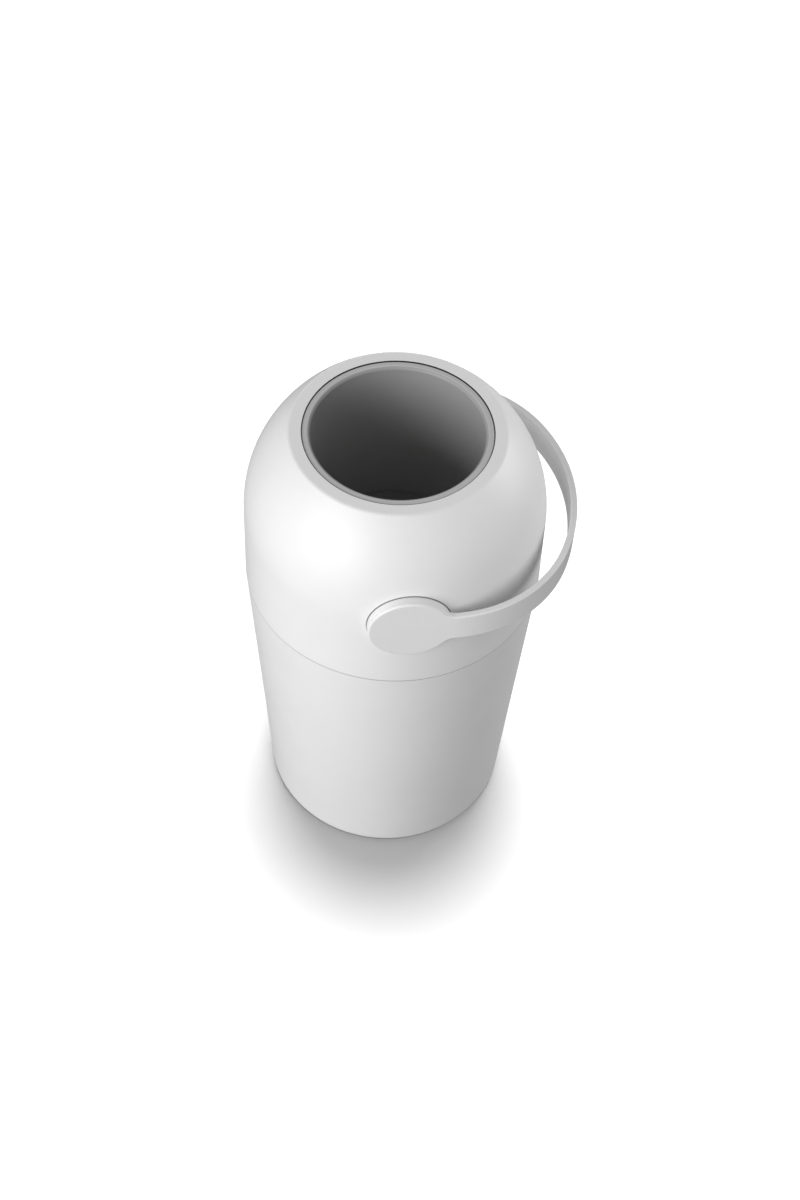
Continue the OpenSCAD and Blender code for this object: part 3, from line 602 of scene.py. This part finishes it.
# %% Rubber
RUBBER, RUBBER_DIM, RUBBER_BLOOM = (0.035, 0.035, 0.037), (0.06, 0.06, 0.062), grey(0.10)
FLOOR_DUST = (0.30, 0.29, 0.27)
seal_marks = [mark(streaks((90, 90, 90), 0.55, 0.8), tint=RUBBER_BLOOM, rougher=0.10)]
grip_marks = [
    mark(floor_scuffs(top=0.004), tint=FLOOR_DUST, rougher=0.12),
    mark(turning(0.0018), depth=0.00015)]
finishes["seal"] = moulded("seal rubber", RUBBER, RUBBER_DIM, 0.62, grain=0.0006, grain_depth=0.00002,
                           marks=seal_marks)
finishes["grip"] = moulded("grip ring rubber", RUBBER, RUBBER_DIM, 0.7, grain=0.0008, grain_depth=0.00004,
                           marks=grip_marks)
print("finishes so far:", len(finishes))

# %% [markdown]
# The piston's weights are turned steel discs with the rings of the lathe on them. The screws are
# plated, so they are brighter and smoother. Both are the same shader as the plastics with Metallic
# at 1, so that they mirror their surroundings in the colour of the metal.

# %% Steel
STEEL, STEEL_DIM, PLATED = (0.62, 0.63, 0.64), (0.52, 0.53, 0.55), (0.70, 0.71, 0.72)
finishes["weight"] = metal("turned steel", STEEL, STEEL_DIM, 0.32, [
    mark(turning(0.0007), tint=STEEL_DIM, rougher=0.06, depth=0.000006)])
finishes["screw"] = metal("plated screw steel", PLATED, STEEL, 0.26, [
    mark(streaks((500, 500, 500), 0.5, 0.7), tint=STEEL_DIM, rougher=0.14, depth=0.000004)])
print("finishes:", len(finishes))

# %% [markdown]
# Each piece gets the finish of what it is made of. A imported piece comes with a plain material,
# which is taken off first, so that a single slot is left for the export to bake.

# %% Put the finishes on the pieces
worn_by = {
    "tub": ["tub_shell"], "dome": ["dome_shell"], "handle": ["handle_bail"], "liner": ["bore_liner"],
    "rim": ["drum_rim_ring"], "piston": ["piston_body", "piston_upper_face", "piston_lower_face"],
    "inner": ["bag_ring", "mouth_seal_retainer", "drum_cradle", "chute_ring", "drum_upper_shell",
              "drum_lower_shell"],
    "bearing": ["bearing_bush_front", "bearing_bush_rear", "axle_front", "axle_rear"],
    "seal": ["mouth_seal", "skirt_seal", "chute_seal", "piston_seals"], "grip": ["base_grip_ring"],
    "weight": ["piston_weights"], "screw": ["cradle_screws", "drum_screws", "axle_screws", "piston_screws"],
}
for finish_name, wearers in worn_by.items():
    for wearer in wearers:
        nodes[wearer].data.materials.clear()
        nodes[wearer].data.materials.append(finishes[finish_name])
print("finished pieces:", sum(len(wearers) for wearers in worn_by.values()), "of", len(nodes))

# %% [markdown]
# The floor is matte paper. It stays plain, and it doesn't shine, so that nothing but the soft
# shadow shows on it.

# %% Floor finish
PAPER, PAPER_ROUGHNESS = (0.5, 0.5, 0.5, 1), 0.95
paper = bpy.data.materials.new("paper floor")
paper.use_nodes = True
paper_shader = paper.node_tree.nodes["Principled BSDF"]
paper_shader.inputs["Base Color"].default_value = PAPER
paper_shader.inputs["Roughness"].default_value = PAPER_ROUGHNESS
paper_shader.inputs["Specular IOR Level"].default_value = 0.0
floor.data.materials.append(paper)
print("floor finish:", paper.name)

# %% [markdown]
# The bin is held together by twenty small pan-head screws with a hexagon socket. One could be
# modelled by hand and copied, but then each size would need its own. A screw is a surface of
# revolution with a thread, and it repeats in circles, so one Geometry Nodes tree makes every group.
# A grid is rolled up twice: once into a rounded head, and once into a shank whose radius rises and
# falls along a spiral. The helpers below start a tree with named inputs, roll a grid round an axis,
# and join what was made.

# %% Geometry Nodes helpers
GRID_WELD = 0.000002


def start_tree(name, inputs):
    """A new Geometry Nodes tree with named inputs, and their wires."""
    tree = bpy.data.node_groups.new(name, "GeometryNodeTree")
    for label, kind in inputs:
        tree.interface.new_socket(name=label, in_out="INPUT", socket_type="NodeSocket" + kind)
    tree.interface.new_socket(name="Geometry", in_out="OUTPUT", socket_type="NodeSocketGeometry")
    entry = tree.nodes.new("NodeGroupInput")
    return tree, {label: Wire(tree, entry.outputs[label]) for label, kind in inputs}


def on_circle(tree, radius, angle, height=0.0):
    """A point at a radius and an angle round the z axis."""
    return add_node(tree, "ShaderNodeCombineXYZ", X=radius * angle.math("COSINE"),
                    Y=radius * angle.math("SINE"), Z=height)


def rolled_grid(tree, around, rows, shape_of):
    """A grid rolled round the z axis. shape_of gives a radius and a height from the two shares.

    The grid spans -0.5 to 0.5 both ways, so 0.5 more makes each place a share from 0 to 1.
    """
    grid = add_node(tree, "GeometryNodeMeshGrid", Size_X=1.0, Size_Y=1.0, Vertices_X=around + 1,
                    Vertices_Y=rows)
    place = add_node(tree, "GeometryNodeInputPosition")
    turned = add_node(tree, "ShaderNodeSeparateXYZ", n0=place) + 0.5
    share = add_node(tree, "ShaderNodeSeparateXYZ", out=1, n0=place) + 0.5
    radius, height = shape_of(turned, share)
    point = on_circle(tree, radius, turned * math.tau, height)
    rolled = add_node(tree, "GeometryNodeSetPosition", Geometry=grid, Position=point)
    return add_node(tree, "GeometryNodeMergeByDistance", Geometry=rolled, Distance=GRID_WELD)


def joined(tree, *parts):
    """Several geometries in one."""
    node = tree.nodes.new("GeometryNodeJoinGeometry")
    for part in parts:
        tree.links.new(part.socket, node.inputs[0])
    return Wire(tree, node.outputs[0])


print("geometry helpers ready")

# %% [markdown]
# The sizes of the head and the thread are shares of the screw's radius, so one tree serves small
# and large screws. The pan head is half an arch with its shoulders pushed out by a power below 1.
# The shank starts inside the head and ends in a blunt tip. Between them its radius follows a cosine
# of the height less the share of a turn, which is what makes the ridges climb.

# %% Shape of a screw
HEAD_WIDTH, HEAD_HEIGHT, PAN = 1.9, 1.2, 0.36
PITCH_SHARE, THREAD_SHARE = 0.62, 0.2
SUNK_SHARE, TIP_TAPER, NECK_TAPER = 0.3, 1.1, 4
screw_tree, ask = start_tree("ring of screws", [
    ("Count", "Int"), ("Circle Radius", "Float"), ("First Angle", "Float"), ("Screw Radius", "Float"),
    ("Length", "Float"), ("Place", "Vector"), ("Turn", "Vector"), ("Material", "Material")])
screw_radius, screw_length = ask["Screw Radius"], ask["Length"]
head_radius, head_height = screw_radius * HEAD_WIDTH, screw_radius * HEAD_HEIGHT


def head_shape(turned, share):
    """Radius and height of the pan head; the head hangs below z = 0."""
    quarter = share * (math.pi / 2)
    side = quarter.math("SINE").math("MAXIMUM", 0.0).math("POWER", PAN)
    rise = quarter.math("COSINE").math("MAXIMUM", 0.0).math("POWER", PAN)
    return head_radius * side, -1 * head_height * rise


def shank_shape(turned, share):
    """Radius and height of the threaded shank, which starts a little way inside the head."""
    sunk = head_height * SUNK_SHARE
    height = share * (screw_length + sunk) - sunk
    turns = height / (screw_radius * PITCH_SHARE) - turned
    wave = (turns * math.tau).math("COSINE") * 0.5 + 0.5
    tip = ((screw_length - height) / screw_radius * TIP_TAPER).math("MINIMUM", 1.0)
    neck = ((height + sunk) / screw_radius * NECK_TAPER).math("MINIMUM", 1.0)
    return screw_radius * (1 - wave * THREAD_SHARE) * tip * neck, height


print("inputs of the screw tree:", list(ask))

# %% [markdown]
# A disc closes the head, and a Boolean cuts the hexagon socket into it, the only shape here that
# can't be rolled from a grid.

# %% Head and shank
AROUND_HEAD, CAP_ROWS, AROUND_SHANK, SHANK_ROWS = 40, 14, 20, 90
HEAD_WELD, SOCKET_SIDES = 0.00001, 6
shank = rolled_grid(screw_tree, AROUND_SHANK, SHANK_ROWS, shank_shape)
cap = rolled_grid(screw_tree, AROUND_HEAD, CAP_ROWS, head_shape)
under = add_node(screw_tree, "GeometryNodeMeshCircle", {"fill_type": "NGON"}, Vertices=AROUND_HEAD,
                 Radius=head_radius)
head = add_node(screw_tree, "GeometryNodeMergeByDistance", Geometry=joined(screw_tree, cap, under),
                Distance=HEAD_WELD)
cutter = add_node(screw_tree, "GeometryNodeMeshCylinder", {"fill_type": "NGON"}, Vertices=SOCKET_SIDES,
                  Radius=screw_radius, Depth=head_height)
cutter_place = add_node(screw_tree, "ShaderNodeCombineXYZ", Z=-1 * head_height)
cutter = add_node(screw_tree, "GeometryNodeTransform", Geometry=cutter, Translation=cutter_place)
head = add_node(screw_tree, "GeometryNodeMeshBoolean", {"operation": "DIFFERENCE", "solver": "EXACT"},
                n0=head, n1=cutter)
print("head and shank:", len(screw_tree.nodes), "nodes")

# %% [markdown]
# The screws then stand on the points of a circle, each turned by chance from a fixed seed, as real
# ones stop where they are tight. The tree ends by making the copies real, because the export drops
# instances, and by giving them their material.

# %% Ring of screws
SCREW_SEED = 7
round_angle = add_node(screw_tree, "GeometryNodeInputIndex") / ask["Count"] * math.tau + ask["First Angle"]
circle = add_node(screw_tree, "GeometryNodePoints", Count=ask["Count"],
                  Position=on_circle(screw_tree, ask["Circle Radius"], round_angle))
chance = add_node(screw_tree, "FunctionNodeRandomValue", {"data_type": "FLOAT"}, out=1, n2=0.0, n3=math.tau,
                  Seed=SCREW_SEED)
spin = add_node(screw_tree, "ShaderNodeCombineXYZ", Z=chance)
stood = add_node(screw_tree, "GeometryNodeInstanceOnPoints", Points=circle,
                 Instance=joined(screw_tree, head, shank), Rotation=spin)
stood = add_node(screw_tree, "GeometryNodeTransform", Geometry=stood, Translation=ask["Place"],
                 Rotation=ask["Turn"])
real = add_node(screw_tree, "GeometryNodeRealizeInstances", Geometry=stood)
dressed = add_node(screw_tree, "GeometryNodeSetMaterial", Geometry=real, Material=ask["Material"])
screw_exit = screw_tree.nodes.new("NodeGroupOutput")
screw_tree.links.new(dressed.socket, screw_exit.inputs[0])
print("screw tree:", len(screw_tree.nodes), "nodes")

# %% [markdown]
# A modifier's inputs are set by each socket's identifier before the object is first evaluated. The
# result is copied out as a plain mesh, and the modifier goes. All screws of one body then become
# one object, with its place in its mesh.

# %% Helpers that make screws
POINTING_UP, POINTING_DOWN = (0.0, 0.0, 0.0), (math.pi, 0.0, 0.0)
POINTING_FRONT, POINTING_BACK = (math.pi / 2, 0.0, 0.0), (-math.pi / 2, 0.0, 0.0)
SHARP_ANGLE = math.radians(32)


def tree_mesh(tree, values):
    """The mesh that a tree makes with these input values."""
    holder = bpy.data.objects.new("holder", bpy.data.meshes.new("holder"))
    bpy.context.scene.collection.objects.link(holder)
    modifier = holder.modifiers.new("tree", "NODES")
    modifier.node_group = tree
    for item in tree.interface.items_tree:
        if item.item_type == "SOCKET" and item.in_out == "INPUT":
            modifier[item.identifier] = values[item.name]
    evaluated = holder.evaluated_get(bpy.context.evaluated_depsgraph_get())
    mesh = bpy.data.meshes.new_from_object(evaluated)
    holder.modifiers.clear()
    bpy.data.objects.remove(holder)
    return mesh


def screws(count, radius, length, place, turned=POINTING_UP, circle_radius=0.0, first_angle=0.0):
    """A mesh of one or more screws on a circle; place is where the undersides of their heads lie."""
    return tree_mesh(screw_tree, {
        "Count": count, "Circle Radius": circle_radius, "First Angle": first_angle, "Screw Radius": radius,
        "Length": length, "Place": place, "Turn": turned, "Material": finishes["screw"]})


def one_piece(name, meshes, body):
    """Several meshes as one object that rides on a body."""
    whole = bmesh.new()
    for mesh in meshes:
        whole.from_mesh(mesh)
    merged = bpy.data.meshes.new(name)
    whole.to_mesh(merged)
    whole.free()
    merged.materials.append(meshes[0].materials[0])
    merged.shade_smooth()
    merged.set_sharp_from_angle(angle=SHARP_ANGLE)
    piece = bpy.data.objects.new(name, merged)
    bpy.context.scene.collection.objects.link(piece)
    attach(piece, body)
    low, high = piece.bound_box[0], piece.bound_box[6]
    print(name, "faces:", len(merged.polygons), "box:", [round(v, 4) for v in (*low, *high)])
    return piece


print("screw helpers ready")

# %% [markdown]
# Six screws hold the drum's cradle in the lid from below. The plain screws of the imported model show
# how far out and how deep they sit: the outermost point of their box is the edge of a head, and the
# lowest one is a head's top.

# %% Screws of the lid
SMALL_SCREW = 0.0019
small_head, small_head_height = HEAD_WIDTH * SMALL_SCREW, HEAD_HEIGHT * SMALL_SCREW
low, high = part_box("cradle_screws")
seat = low.z + small_head_height
lid_screws = one_piece("lid_screws", [
    screws(6, SMALL_SCREW, high.z - seat, (0.0, 0.0, seat), circle_radius=high.x - small_head),
], "lid")
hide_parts("cradle_screws")

# %% [markdown]
# Four screws join the two halves of the drum at the corners of a square, so their circle goes
# through its corners. A longer one through each axle draws the hub disc of the handle tight: its
# head lies inside the drum and it points outwards.

# %% Screws of the drum and the axles
AXLE_SCREW, AXLE_SCREW_LENGTH = 0.003, 0.0353
SQUARE_CORNER, EIGHTH_TURN = math.sqrt(2), math.pi / 4
low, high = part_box("drum_screws")
seat = low.z + small_head_height
axle_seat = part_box("axle_screws")[1].y - AXLE_SCREW_LENGTH
drum_screws = one_piece("drum_and_axle_screws", [
    screws(4, SMALL_SCREW, high.z - seat, (0.0, 0.0, seat),
           circle_radius=(high.x - small_head) * SQUARE_CORNER, first_angle=EIGHTH_TURN),
    screws(1, AXLE_SCREW, AXLE_SCREW_LENGTH, (0.0, -axle_seat, pivot_z), POINTING_FRONT),
    screws(1, AXLE_SCREW, AXLE_SCREW_LENGTH, (0.0, axle_seat, pivot_z), POINTING_BACK),
], "drum")
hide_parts("drum_screws", "axle_screws")

# %% [markdown]
# Each face of the piston has four screws, with their heads sunk into it. Those of the lower face
# point up and those of the upper face point down.

# %% Screws of the piston
PISTON_SCREW_LENGTH = 0.011
low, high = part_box("piston_screws")
piston_circle = (high.x - small_head) * SQUARE_CORNER
lower_seat, upper_seat = low.z + small_head_height, high.z - small_head_height
piston_screws = one_piece("piston_face_screws", [
    screws(4, SMALL_SCREW, PISTON_SCREW_LENGTH, (0.0, 0.0, face_seat), pointing,
           circle_radius=piston_circle, first_angle=EIGHTH_TURN)
    for face_seat, pointing in ((lower_seat, POINTING_UP), (upper_seat, POINTING_DOWN))
], "piston")
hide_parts("piston_screws")
